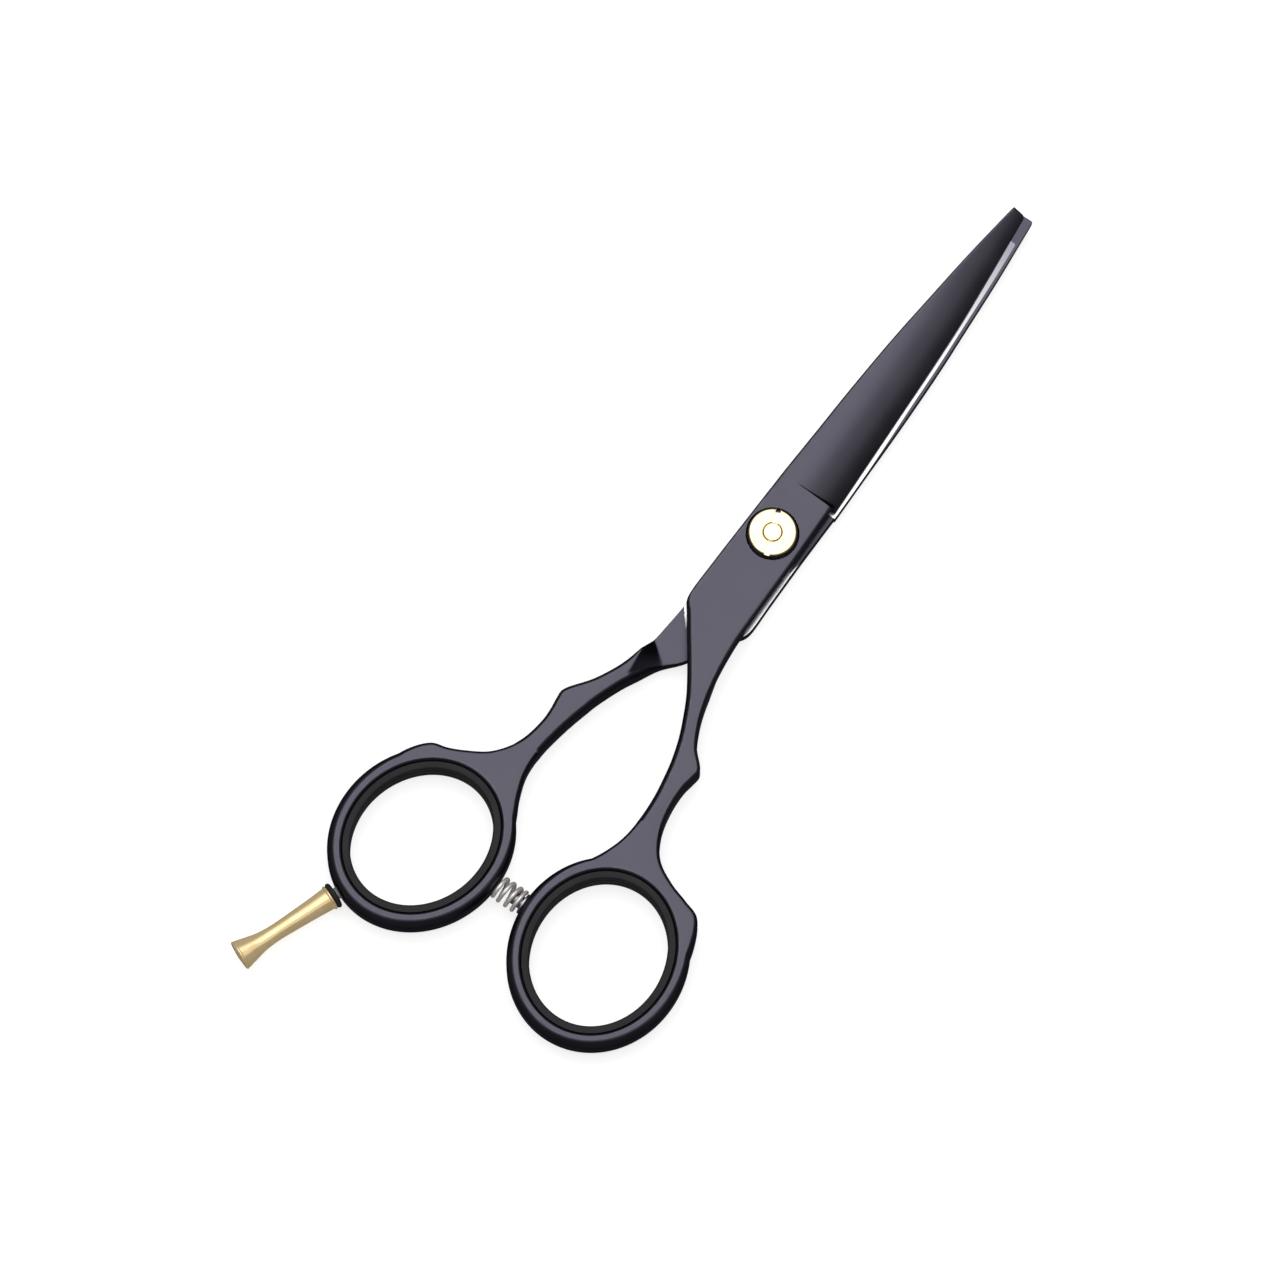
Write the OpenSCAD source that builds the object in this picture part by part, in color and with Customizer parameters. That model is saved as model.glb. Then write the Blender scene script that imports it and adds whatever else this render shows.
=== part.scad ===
// Hair cutting shears, 5.5 inch: two halves that turn on one adjustable pivot screw.
// Frame: +Y runs to the blade tips, +X to the thumb ring, +Z to the tension nut.
// The origin is on the pivot axis, in the plane that the closed shears lie on.

/* [Halves] */
// Thickness of each half at the pivot
half_t = 2.8; // [2.7:0.05:2.9]
// Gap between the inner faces of the two halves
part_gap = 0.05; // [0.03:0.01:0.08]
// Bevel along the edges of the shanks and finger rings
shank_bevel = 0.9; // [0.7:0.05:1]
// Where each blade forging is welded to its handle, behind the pivot
weld_back = 19; // [18.5:0.1:20]

/* [Blades] */
// Radius of the convex grind on the outside of each blade
grind_r = 11.7; // [11.6:0.1:12.5]
// Height of the grind's crown above the inner face at the tip
tip_crown = 2; // [1.9:0.05:2.1]
// Thickness left at the cutting edge
edge_land = 0.2; // [0.18:0.01:0.25]
// Lean of the closed front blade from the Y axis, in degrees
front_lean = 1.7; // [1.5:0.1:1.9]
// Lean of the closed back blade from the Y axis, in degrees
back_lean = 2; // [1.8:0.1:2.2]

/* [Finger rings] */
// Wall of the rubber insert in each ring
insert_t = 1.1; // [1:0.05:1.2]
// Height of the rubber insert
insert_h = 4.8; // [4.4:0.1:5]
// Depth of the grooves inside the insert
groove_d = 0.3; // [0.2:0.05:0.35]

/* [Pivot] */
// Diameter of the stud's round journal
journal_d = 3.8; // [3.7:0.05:3.9]
// Outer diameter of the nylon bushing in the front half
bushing_d = 5.2; // [5:0.1:5.4]
// Diameter of the stud's threaded end
thread_d = 2.7; // [2.6:0.05:2.8]
// Diameter of the stud's back head
stud_head_d = 6.4; // [6.2:0.1:6.6]
// Diameter of the tension nut
nut_d = 7; // [6.8:0.1:7.1]
// Thickness of the tension nut
nut_t = 1.35; // [1.2:0.05:1.5]
// Width of the slot across the nut
slot_w = 0.85; // [0.8:0.05:1]
// Depth of the slot
slot_d = 0.35; // [0.3:0.05:0.5]
// Turn of the slot from the Y axis, in degrees
slot_turn = 20; // [0:5:90]

/* [Bumper] */
// Outer diameter of the bumper's coil spring
coil_d = 3.9; // [3.7:0.1:4]
// Wire of the coil spring
wire_d = 0.65; // [0.6:0.05:0.7]
// Turns of the coil spring
coil_turns = 3.5; // [3:0.5:4]

/* [Finger rest] */
// Length of the finger rest
rest_len = 15.9; // [14:0.1:16]
// Angle of the finger rest from the -Y axis, in degrees
rest_angle = 22; // [20:0.5:24]

/* [Hidden] */

coat = [0.16, 0.155, 0.18];
rubber = [0.06, 0.06, 0.065];
gold = [0.86, 0.68, 0.32];
steel = [0.75, 0.75, 0.76];
nylon = [0.9, 0.89, 0.85];

inner_z = half_t + part_gap;
top_z = inner_z + half_t;
mid_z = top_z / 2;
over = 1;
press = 0.02;
running = 0.04;

// Blade, in its own frame: u across (+u to the cutting edge), v along the blade, w up from the
// inner face. The blade's centre line crosses the X axis at blade_x.
blade_x = 0.65;
heel_v = 8.1;
heel_nub = 0.5;
tip_v = 60.2;
heel_edge_u = 4.6;
tip_edge_u = 0.5;
spine = [[-4.88, heel_v], [-4.62, 16], [-4.38, 24], [-3.88, 34], [-3.25, 42], [-2.6, 50], [-1.55, tip_v]];
edge = [[tip_edge_u - 0.15, tip_v - 0.05], [0.74, 58], [1.55, 50], [2.35, 42], [2.98, 34], [3.62, 24], [4.12, 16],
  [heel_edge_u, heel_v]];
// The grinding wheel's axis line runs from the heel to the tip, below the inner face. It stands off
// the straight line between the ends of the cutting edge, because the edge bows out.
edge_bow = 0.28;
heel_axis = [heel_edge_u + edge_bow - crown_to_edge(half_t), heel_v, half_t - grind_r];
tip_axis = [tip_edge_u + edge_bow - crown_to_edge(tip_crown), tip_v, tip_crown - grind_r];

// Pivot body: left and right edges of each half's plate from the heel line to the corner where
// the shank begins, with its lower run to the weld in between
front_left = [[-3.99, heel_v], [-4.34, 0], [-4.68, -8], [-4.8, -14.1], [-4.55, -15.2], [-4, -15.95]];
front_right = [[4.95, heel_v], [5, 0], [4.92, -8], [4.86, -14.2], [4.85, -15.2]];
back_left = [[-3.82, heel_v], [-4.15, 0], [-4.5, -8], [-4.65, -14.2], [-4.7, -15.2]];
back_right = [[5.84, heel_v + 0.1], [5.6, 4], [5.5, 0], [5.42, -8], [5.35, -13.2], [5.05, -14.2],
  [4.5, -15.1]];
bevel_x = 4.8;
bevel_w = 0.55;
bevel_h = 0.6;

// Thumb half's handle: the shank's inner and outer edge, station by station, and its ring
thumb_in = [[-4.4, -15.4], [-1.85, -19], [0.5, -22.3], [3.25, -26.5], [4.75, -29.5], [5.95, -32.3],
  [6.8, -35], [7.1, -36.2], [7.45, -38], [7.95, -41.3], [8.1, -45.3], [7.7, -49], [6.7, -52], [5.7, -54],
  [4.5, -56], [3.7, -58.2], [5, -62]];
thumb_out = [[4.8, -15.3], [5.1, -19], [5.45, -21.8], [6.1, -25.1], [7.2, -28.6], [8.95, -32],
  [11.25, -34.6], [11.15, -36.2], [10.85, -38], [10.95, -41.3], [11.85, -45.1], [14, -48.5], [17.35, -50.4],
  [20.5, -51.4], [23.1, -52.4], [25.2, -56.4], [26.2, -61.5]];
thumb_ring = [14.45, -64.75];
thumb_lean = 7;
thumb_r = [12.95, 14.3];
thumb_hole = [10.75, 12.15];

// Finger half's handle, the same way
finger_in = [[4.4, -15.4], [2, -19], [-0.1, -22.4], [-2.45, -25.2], [-4, -28.1], [-5.35, -30.7], [-6.95, -34.8],
  [-7.4, -36.4], [-8, -38.6], [-8.6, -41.3], [-9.2, -45.3], [-9.1, -49], [-8, -52.4], [-6.9, -54.6],
  [-5.8, -57], [-5.2, -59.2], [-6.5, -62.5]];
finger_out = [[-4.7, -15.3], [-5.05, -19], [-5.4, -22], [-5.95, -24.4], [-7, -28], [-9, -32],
  [-11.85, -36.1], [-11.85, -37.5], [-11.65, -39.3], [-11.65, -41.4], [-12.6, -45.6], [-15.1, -49.2],
  [-18.3, -51.3], [-20.6, -52.4], [-23, -53.2], [-25.75, -56.75], [-26.95, -61.6]];
finger_ring = [-16.1, -65.4];
finger_lean = -16;
finger_r = [12.6, 14.25];
finger_hole = [10.4, 12];

// How much slimmer than the ring the shank grows on each face, and over how many steps
shank_slim = 0.2;
slim_run = 18;

// Where a half steps up from its own layer to the shank's full thickness
ramp_top = -23;
ramp_foot = -27;

// Pivot stack, from the back head up
head_h = 0.85;
ride_t = 0.3;
ride_d = 8;
square_w = 3.9;
pocket_h = 0.75;
pocket_d = 7.7;
pocket_z = top_z - pocket_h;
friction_t = 0.25;
spring_t = 0.16;
spring_rise = 0.15;
spring_z = pocket_z + friction_t + 0.02;
nut_z = spring_z + spring_t + spring_rise + 0.02;

// Bumper, along the X axis between the two rings
bumper_y = thumb_ring[1];
bumper_x = thumb_ring[0] - reach(thumb_r, 180 - thumb_lean);
bumper_gap = 0.1;
seat_t = 0.35;
coil_len = bumper_x - seat_t - (finger_ring[0] + reach(finger_r, -finger_lean)) - bumper_gap;
bumper_thread_d = 1.6;
bumper_thread_l = 1.6;
bumper_core_l = 2;

// Insert: heights of the two grooves as shares of the insert's height, and their width
groove_levels = [0.3, 0.7];
groove_w = 0.7;

// Finger rest: its axis leaves the finger ring at rest_foot
rest_foot = [-21.56, -78.6, mid_z];
rest_stud_d = 1.9;
rest_stud_in = 1.6;
rest_stud_out = 3.8;
rest_hole_l = 4;
rest_washer_d = 4;
washer_at = 0.42;
washer_t = 0.75;
rest_at = 1.22;

function crown_to_edge(crown) = sqrt(pow(grind_r, 2) - pow(grind_r - crown + edge_land, 2));

// Distance from an oval's centre to its line at angle a
function reach(r, a) = 1 / sqrt(pow(cos(a) / r[0], 2) + pow(sin(a) / r[1], 2));

// Smooth run through a list of points, with n steps between neighbours
function run(p, n = 3) = concat([for (i = [0:len(p) - 2]) for (k = [0:n - 1])
  between(p[max(i - 1, 0)], p[i], p[i + 1], p[min(i + 2, len(p) - 1)], k / n)], [p[len(p) - 1]]);

function between(a, b, c, d, t) =
  (2 * b + (c - a) * t + (2 * a - 5 * b + 4 * c - d) * t * t + (3 * b - a - 3 * c + d) * t * t * t) / 2;

function reversed(p) = [for (i = [len(p) - 1:-1:0]) p[i]];

function oval(r, n = 72) = [for (i = [0:n - 1]) [r[0] * cos(360 * i / n), r[1] * sin(360 * i / n)]];

// Solid skin over a row of sections that have the same number of points
module loft(sections) {
  m = len(sections[0]);
  n = len(sections);
  points = [for (section = sections) each section];
  skin = [for (i = [0:n - 2]) for (j = [0:m - 1])
    let (k = (j + 1) % m)
      each [[i * m + m + k, i * m + k, i * m + j], [i * m + m + j, i * m + m + k, i * m + j]]];
  ends = [[for (j = [0:m - 1]) j], [for (j = [m - 1:-1:0]) n * m - m + j]];
  polyhedron(points, concat(ends, skin), convexity = 8);
}

// Round bar of radius r on the line through a and b, past both ends
module bar(a, b, r, past = 20) {
  d = b - a;
  translate(a)
    rotate([0, acos(d[2] / norm(d)), atan2(d[1], d[0])])
      translate([0, 0, -past])
        cylinder(r = r, h = norm(d) + 2 * past, $fn = 180);
}

// One blade: its outline cut by the convex grind
module blade_shape() {
  intersection() {
    linear_extrude(half_t)
      polygon(concat([[spine[0][0], heel_v - heel_nub]], run(spine), run(edge),
        [[heel_edge_u + 0.02, heel_v - heel_nub]]));
    bar(heel_axis, tip_axis, grind_r);
  }
}

// Flat plate of one half from the heel line to the weld, with the long bevel along its outer side
module body_plate(outline, bevel_side) {
  difference() {
    linear_extrude(half_t)
      polygon(outline);
    mirror([bevel_side < 0 ? 1 : 0, 0, 0])
      rotate([90, 0, 0])
        translate([0, 0, -heel_v - over])
          linear_extrude(heel_v + weld_back + 2 * over)
            polygon([[bevel_x - bevel_w, half_t + press], [bevel_x + bevel_w, half_t + press],
              [bevel_x + bevel_w, half_t - bevel_h], [bevel_x + 0.1, half_t - bevel_h]]);
  }
}

// Eight-sided section of the shank, from inner edge point a to outer edge point b, slim in height
function section(a, b, slim) =
  let (c = (b - a) / norm(b - a) * shank_bevel, low = slim, high = top_z - slim)
    [[a + c, low], [b - c, low], [b, low + shank_bevel], [b, high - shank_bevel], [b - c, high],
      [a + c, high], [a, high - shank_bevel], [a, low + shank_bevel]];

// Bevelled bar that follows two edges and grows slimmer towards the ring
module shank(inner, outer) {
  a = run(inner);
  b = run(outer);
  loft([for (i = [0:len(a) - 1]) [for (q = section(a[i], b[i], shank_slim * min(i / slim_run, 1)))
    [q[0][0], q[0][1], q[1]]]]);
}

// Oval disc with bevelled rims, the ring before its hole
module ring_disc(ring, lean, r) {
  bevel = [shank_bevel, shank_bevel];
  translate(ring)
    rotate([0, 0, lean])
      hull() {
        linear_extrude(top_z)
          polygon(oval(r - bevel));
        translate([0, 0, shank_bevel])
          linear_extrude(top_z - 2 * shank_bevel)
            polygon(oval(r));
      }
}

// Shank and ring together, cut off at the weld
module handle_bar(inner, outer, ring, lean, r) {
  difference() {
    union() {
      shank(inner, outer);
      ring_disc(ring, lean, r);
    }
    translate([-20, -weld_back, -over])
      cube([40, 20, top_z + 2 * over]);
  }
}

// Oval hole through a ring
module ring_hole(ring, lean, hole_r) {
  translate([ring[0], ring[1], -over])
    rotate([0, 0, lean])
      linear_extrude(top_z + 2 * over)
        polygon(oval(hole_r));
}

// The half-thickness tongue: takes away the layer that belongs to the other half, with a ramp
module tongue_cut(low_z, high_z) {
  rotate([90, 0, 90])
    translate([0, 0, -20])
      linear_extrude(40)
        polygon([[0, low_z], [0, high_z], [ramp_foot, high_z], [ramp_top, low_z]]);
}

module front_blade() {
  color(coat)
    difference() {
      union() {
        translate([blade_x, 0, inner_z])
          rotate([0, 0, -front_lean])
            blade_shape();
        translate([0, 0, inner_z])
          body_plate(concat(front_left, [[-1.85, -weld_back], [5.1, -weld_back]], reversed(front_right)), 1);
      }
      translate([0, 0, inner_z - over])
        cylinder(d = bushing_d, h = half_t + 2 * over, $fn = 64);
      translate([0, 0, pocket_z])
        cylinder(d = pocket_d, h = pocket_h + over, $fn = 96);
    }
}

module back_blade() {
  color(coat)
    difference() {
      union() {
        translate([blade_x, 0, half_t])
          rotate([0, 0, -back_lean])
            rotate([0, 180, 0])
              blade_shape();
        translate([0, 0, half_t])
          mirror([0, 0, 1])
            body_plate(concat(back_right, [[2, -weld_back], [-5.05, -weld_back]], reversed(back_left)), -1);
      }
      translate([0, 0, -over])
        cylinder(d = stud_head_d + 2 * press, h = head_h + over, $fn = 64);
      translate([-square_w / 2 - press, -square_w / 2 - press, 0])
        cube([square_w + 2 * press, square_w + 2 * press, half_t]);
      translate([0, 0, half_t - ride_t])
        cylinder(d = ride_d + 2 * press, h = ride_t + over, $fn = 64);
    }
}

module front_handle() {
  color(coat)
    difference() {
      handle_bar(thumb_in, thumb_out, thumb_ring, thumb_lean, thumb_r);
      ring_hole(thumb_ring, thumb_lean, thumb_hole);
      mirror([0, 0, 1])
        tongue_cut(-inner_z, over);
      translate([bumper_x - over, bumper_y, mid_z])
        rotate([0, 90, 0])
          cylinder(d = bumper_thread_d, h = bumper_thread_l + press + over, $fn = 32);
    }
}

module back_handle() {
  color(coat)
    difference() {
      handle_bar(finger_out, finger_in, finger_ring, finger_lean, finger_r);
      ring_hole(finger_ring, finger_lean, finger_hole);
      tongue_cut(half_t, top_z + over);
      along_rest(-rest_stud_in)
        cylinder(d = rest_stud_d, h = rest_stud_in + over, $fn = 32);
    }
}

// Rubber finger insert: an oval sleeve with two grooves round its inside
module insert_sleeve(ring, lean, hole_r) {
  inner = hole_r - [insert_t, insert_t];
  low = mid_z - insert_h / 2;
  color(rubber)
    translate([ring[0], ring[1], low])
      rotate([0, 0, lean])
        difference() {
          linear_extrude(insert_h)
            polygon(oval(hole_r));
          translate([0, 0, -over])
            linear_extrude(insert_h + 2 * over)
              polygon(oval(inner));
          for (level = groove_levels)
            translate([0, 0, level * insert_h - groove_w / 2])
              linear_extrude(groove_w)
                polygon(oval(inner + [groove_d, groove_d]));
        }
}

module front_insert() insert_sleeve(thumb_ring, thumb_lean, thumb_hole);

module back_insert() insert_sleeve(finger_ring, finger_lean, finger_hole);

// Stud: a flat back head, a square neck that the back half holds, a journal and a threaded end
module pivot_stud() {
  neck_top = half_t - ride_t - 0.01;
  color(gold)
    union() {
      cylinder(d = stud_head_d, h = head_h, $fn = 64);
      translate([-square_w / 2, -square_w / 2, head_h / 2])
        cube([square_w, square_w, neck_top - head_h / 2]);
      cylinder(d = journal_d, h = pocket_z - 0.02, $fn = 64);
      cylinder(d = thread_d, h = nut_z + nut_t + 0.04, $fn = 64);
    }
}

// Flat ring from height z
module washer(z, outer_d, inner_d, t) {
  translate([0, 0, z])
    difference() {
      cylinder(d = outer_d, h = t, $fn = 64);
      translate([0, 0, -over])
        cylinder(d = inner_d, h = t + 2 * over, $fn = 64);
    }
}

module pivot_bushing() {
  color(nylon)
    washer(inner_z, bushing_d - press, journal_d + 2 * running, pocket_z - inner_z);
}

module ride_washer() color(nylon) washer(half_t - ride_t, ride_d, journal_d + 2 * running, ride_t);

module friction_washer() color(nylon) washer(pocket_z, pocket_d - 0.4, thread_d + 2 * running, friction_t);

// Dished spring washer, high at its inner edge
module disc_spring() {
  inner_r = thread_d / 2 + 0.1;
  outer_r = nut_d / 2 - 0.2;
  color(steel)
    translate([0, 0, spring_z])
      rotate_extrude($fn = 64)
        polygon([[outer_r, 0], [outer_r, spring_t], [inner_r, spring_t + spring_rise], [inner_r, spring_rise]]);
}

// Round nut with a bevelled rim and a screwdriver slot
module tension_nut() {
  rim = 0.3;
  color(gold)
    translate([0, 0, nut_z])
      difference() {
        rotate_extrude($fn = 96)
          polygon([[thread_d / 2 + running, 0], [nut_d / 2, 0], [nut_d / 2, nut_t - rim],
            [nut_d / 2 - rim, nut_t], [thread_d / 2 + running, nut_t]]);
        rotate([0, 0, slot_turn])
          translate([-slot_w / 2, -nut_d, nut_t - slot_d])
            cube([slot_w, 2 * nut_d, 1]);
      }
}

// Threaded post in the thumb ring: a seat flange and the core inside the coil
module bumper_post() {
  color(coat)
    translate([bumper_x, bumper_y, mid_z])
      rotate([0, -90, 0])
        union() {
          translate([0, 0, -bumper_thread_l])
            cylinder(d = bumper_thread_d, h = bumper_thread_l + seat_t / 2, $fn = 32);
          cylinder(d = coil_d - wire_d, h = seat_t, $fn = 48);
          cylinder(d = coil_d - 3 * wire_d, h = seat_t + bumper_core_l, $fn = 48);
        }
}

// Coil of round wire: rings of points carried along a helix
module bumper_spring() {
  sides = 8;
  steps = round(24 * coil_turns);
  coil_r = (coil_d - wire_d) / 2;
  rise = (coil_len - wire_d) / steps;
  points = [for (i = [0:steps]) for (j = [0:sides - 1])
    let (turn = i * 360 * coil_turns / steps, side = 360 * j / sides, r = coil_r + wire_d / 2 * cos(side))
      [r * cos(turn), r * sin(turn), wire_d / 2 + i * rise + wire_d / 2 * sin(side)]];
  skin = [for (i = [0:steps - 1]) for (j = [0:sides - 1])
    [i * sides + j, i * sides + (j + 1) % sides, (i + 1) * sides + (j + 1) % sides, (i + 1) * sides + j]];
  color(steel)
    translate([bumper_x - seat_t - 0.01, bumper_y, mid_z])
      rotate([0, -90, 0])
        polyhedron(points, concat([[for (j = [0:sides - 1]) sides - 1 - j]], skin,
          [[for (j = [0:sides - 1]) steps * sides + j]]), convexity = 8);
}

// Moves its children to the finger rest's axis, a given way out from the ring
module along_rest(out) {
  translate(rest_foot)
    rotate([0, 0, -rest_angle])
      rotate([90, 0, 0])
        translate([0, 0, out])
          children();
}

module rest_stud() {
  color(steel)
    along_rest(press - rest_stud_in)
      cylinder(d = rest_stud_d, h = rest_stud_in - press + rest_at + rest_stud_out, $fn = 32);
}

module rest_washer() {
  color(rubber)
    along_rest(washer_at)
      difference() {
        cylinder(d = rest_washer_d, h = washer_t, $fn = 48);
        translate([0, 0, -over])
          cylinder(d = rest_stud_d + running, h = washer_t + 2 * over, $fn = 32);
      }
}

// Turned finger rest: narrow waist, flared end, blind hole for its stud
module finger_rest() {
  side = run([[1.62, 0.5], [1.48, 3.5], [1.32, 7], [1.25, 9.6], [1.42, 11.9], [1.92, 14.1], [2.24, rest_len - 0.6]]);
  color(gold)
    along_rest(rest_at)
      difference() {
        rotate_extrude($fn = 64)
          polygon(concat([[0, 0], [1.75, 0], [1.9, 0.15], [1.9, 0.4]], side,
            [[2.3, rest_len - 0.45], [2.3, rest_len - 0.2], [2.1, rest_len - 0.05], [0, rest_len]]));
        translate([0, 0, -over])
          cylinder(d = rest_stud_d + 2 * running, h = rest_hole_l + over, $fn = 32);
      }
}

front_blade();
front_handle();
front_insert();
back_blade();
back_handle();
back_insert();
pivot_stud();
pivot_bushing();
ride_washer();
friction_washer();
disc_spring();
tension_nut();
bumper_post();
bumper_spring();
rest_stud();
rest_washer();
finger_rest();
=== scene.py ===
import math

import bmesh
import bpy
import numpy as np
from mathutils import Matrix, Vector


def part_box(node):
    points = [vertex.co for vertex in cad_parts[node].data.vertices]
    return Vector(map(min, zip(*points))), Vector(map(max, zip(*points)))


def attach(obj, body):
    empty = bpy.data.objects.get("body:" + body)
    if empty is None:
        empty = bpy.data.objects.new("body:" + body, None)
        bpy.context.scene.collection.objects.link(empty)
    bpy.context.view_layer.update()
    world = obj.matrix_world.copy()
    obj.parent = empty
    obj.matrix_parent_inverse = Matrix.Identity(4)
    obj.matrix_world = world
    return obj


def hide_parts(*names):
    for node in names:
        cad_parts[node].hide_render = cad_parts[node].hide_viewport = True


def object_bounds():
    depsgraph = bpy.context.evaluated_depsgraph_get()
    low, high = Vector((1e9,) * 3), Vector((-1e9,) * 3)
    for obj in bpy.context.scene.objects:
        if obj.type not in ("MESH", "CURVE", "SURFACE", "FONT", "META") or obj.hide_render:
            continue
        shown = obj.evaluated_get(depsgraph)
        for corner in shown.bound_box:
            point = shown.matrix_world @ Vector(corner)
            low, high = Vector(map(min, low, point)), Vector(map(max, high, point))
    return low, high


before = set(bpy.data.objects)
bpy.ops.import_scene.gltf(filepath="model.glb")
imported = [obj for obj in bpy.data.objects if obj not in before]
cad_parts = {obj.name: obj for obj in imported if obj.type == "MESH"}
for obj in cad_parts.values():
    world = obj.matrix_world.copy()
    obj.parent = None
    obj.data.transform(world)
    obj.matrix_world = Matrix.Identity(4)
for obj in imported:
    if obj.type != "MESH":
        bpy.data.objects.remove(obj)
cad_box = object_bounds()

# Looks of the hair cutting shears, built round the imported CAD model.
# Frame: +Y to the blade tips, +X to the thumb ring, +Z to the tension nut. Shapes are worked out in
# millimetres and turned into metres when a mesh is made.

MM = 0.001

# ---------------------------------------------------------------- sizes shared with the CAD model

HALF_T = 2.8
INNER_Z = 2.85
TOP_Z = INNER_Z + HALF_T
MID_Z = TOP_Z / 2

BLADE_X = 0.65
HEEL_V = 8.1
TIP_V = 60.17
GRIND_R = 11.7
EDGE_LAND = 0.2
HEEL_EDGE_U = 4.6
TIP_CROWN = 2.0
SPINE = [(-4.88, 7.6), (-4.88, HEEL_V), (-4.62, 16), (-4.38, 24), (-3.88, 34), (-3.25, 42), (-2.6, 50),
         (-1.78, 58), (-1.55, TIP_V)]
EDGE = [(4.62, 7.6), (HEEL_EDGE_U, HEEL_V), (4.18, 16), (3.74, 24), (3.16, 34), (2.55, 42), (1.66, 50),
        (0.74, 58), (0.5, TIP_V)]

# Both halves are worked out in one half frame: u across (+u to the cutting edge and the outside of
# the shank), v along, w up from the inner face to the outside of the blade. The thumb half lies as
# it is, and the finger half is turned over about the Y axis.
THUMB = {
    "turned_over": False,
    "blade_lean": math.radians(1.7),
    "heel": 8.1,
    "inside": [(-3.99, 8.1), (-4.34, 0), (-4.68, -8), (-4.8, -14.1), (-4.55, -15.2), (-4, -15.95),
               (-1.85, -19), (0.5, -22.3), (3.25, -26.5), (4.75, -29.5), (5.95, -32.3), (6.8, -35),
               (7.1, -36.2), (7.45, -38), (7.95, -41.3), (8.1, -45.3), (7.7, -49), (6.7, -52), (5.7, -54),
               (4.5, -56), (3.7, -58.2), (5, -62)],
    "outside": [(4.95, 8.1), (5, 0), (4.92, -8), (4.86, -14.2), (4.85, -15.2), (4.88, -16.2), (5.1, -19),
                (5.45, -21.8), (6.1, -25.1), (7.2, -28.6), (8.95, -32), (11.25, -34.6), (11.15, -36.2),
                (10.85, -38), (10.95, -41.3), (11.85, -45.1), (14, -48.5), (17.35, -50.4), (20.5, -51.4),
                (23.1, -52.4), (25.2, -56.4), (26.15, -61.5)],
    "ring": (14.45, -64.75),
    "lean": math.radians(7),
    "ring_r": (12.95, 14.3),
    "hole_r": (10.75, 12.15),
}
FINGER = {
    "turned_over": True,
    "blade_lean": math.radians(2),
    "heel": 7.6,
    "inside": [(-5.66, 8.1), (-5.42, 0), (-5.33, -8), (-5.27, -13.2), (-4.97, -14.2), (-4.4, -15.1),
               (-2, -19), (0.1, -22.4), (2.45, -25.2), (4, -28.1), (5.35, -30.7), (6.95, -34.8),
               (7.4, -36.4), (8, -38.6), (8.6, -41.3), (9.2, -45.3), (9.1, -49), (8, -52.4), (6.9, -54.6),
               (5.8, -57), (5.2, -59.2), (6.5, -62.5)],
    "outside": [(3.82, 8.1), (4.15, 0), (4.5, -8), (4.65, -14.2), (4.7, -15.2), (4.77, -16.2),
                (5.05, -19), (5.4, -22), (5.95, -24.4), (7, -28), (9, -32), (11.85, -36.1),
                (11.85, -37.5), (11.65, -39.3), (11.65, -41.4), (12.6, -45.6), (15.1, -49.2),
                (18.3, -51.3), (20.6, -52.4), (23, -53.2), (25.75, -56.75), (26.95, -61.6)],
    "ring": (16.1, -65.4),
    "lean": math.radians(16),
    "ring_r": (12.6, 14.25),
    "hole_r": (10.4, 12),
}
# The strip of blade, body and shank ends at this pair of outline points, where the ring begins
NECK = 15

INSERT_T = 1.1
INSERT_H = 4.8

# ------------------------------------------------------------------------------- curves and masks


def rise(x, a, b):
    """0 at a and before, 1 at b and after, with level ends: 3t^2 - 2t^3. b may be less than a."""
    t = np.clip((np.asarray(x, float) - a) / (b - a), 0, 1)
    return t * t * (3 - 2 * t)


def curve(points, steps):
    """Smooth curve through points, with steps samples between each pair of neighbours (one number,
    or one for each stretch). Each stretch is a cubic whose end slopes are the means of the two
    chords there, weighted so that a short stretch doesn't overshoot."""
    p = np.asarray(points, float)
    chord = np.diff(p, axis=0)
    h = np.sqrt(np.linalg.norm(chord, axis=1))[:, None]
    speed = chord / h
    inner = (speed[:-1] * h[1:] + speed[1:] * h[:-1]) / (h[:-1] + h[1:])
    slope = np.concatenate([speed[:1], inner, speed[-1:]])
    steps = np.broadcast_to(steps, len(chord))
    i = np.repeat(np.arange(len(chord)), steps)
    t = (np.concatenate([np.arange(n) / n for n in steps]))[:, None]
    body = ((2 * t**3 - 3 * t**2 + 1) * p[i] + (t**3 - 2 * t**2 + t) * h[i] * slope[i]
            + (3 * t**2 - 2 * t**3) * p[i + 1] + (t**3 - t**2) * h[i] * slope[i + 1])
    return np.concatenate([body, p[-1:]])


def oval_radius(radii, angle):
    """Distance from an oval's centre to its line, in the direction of angle."""
    return 1 / np.sqrt((np.cos(angle) / radii[0]) ** 2 + (np.sin(angle) / radii[1]) ** 2)


def nearest(points, line, closed=True):
    """Distance from each point to a line of many points, and the number of its nearest point."""
    found, which = np.empty(len(points)), np.empty(len(points), int)
    ahead = np.roll(line, -1, 0) if closed else np.concatenate([line[1:], line[-1:]])
    for start in range(0, len(points), 4000):
        p = points[start:start + 4000]
        k = ((p[:, None] - line) ** 2).sum(-1).argmin(1)
        best = np.full(len(p), np.inf)
        for side in (k, k - 1):
            a, b = line[side], ahead[side]
            ab = b - a
            t = np.clip(((p - a) * ab).sum(1) / np.maximum((ab**2).sum(1), 1e-12), 0, 1)
            best = np.minimum(best, np.linalg.norm(p - a - ab * t[:, None], axis=1))
        found[start:start + 4000], which[start:start + 4000] = best, k
    return found, which


def rim_drop(d, width, height, power=1.5):
    """How far a rounded bevel lies under the face at distance d from the edge: a quarter of a
    superellipse, width wide and height high; power 2 is round, and towards 1 it is a flat bevel."""
    x = np.clip(1 - d / width, 0, 1)
    return height * (1 - (1 - x**power) ** (1 / power))


# -------------------------------------------------------------------------------- making a mesh


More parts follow.
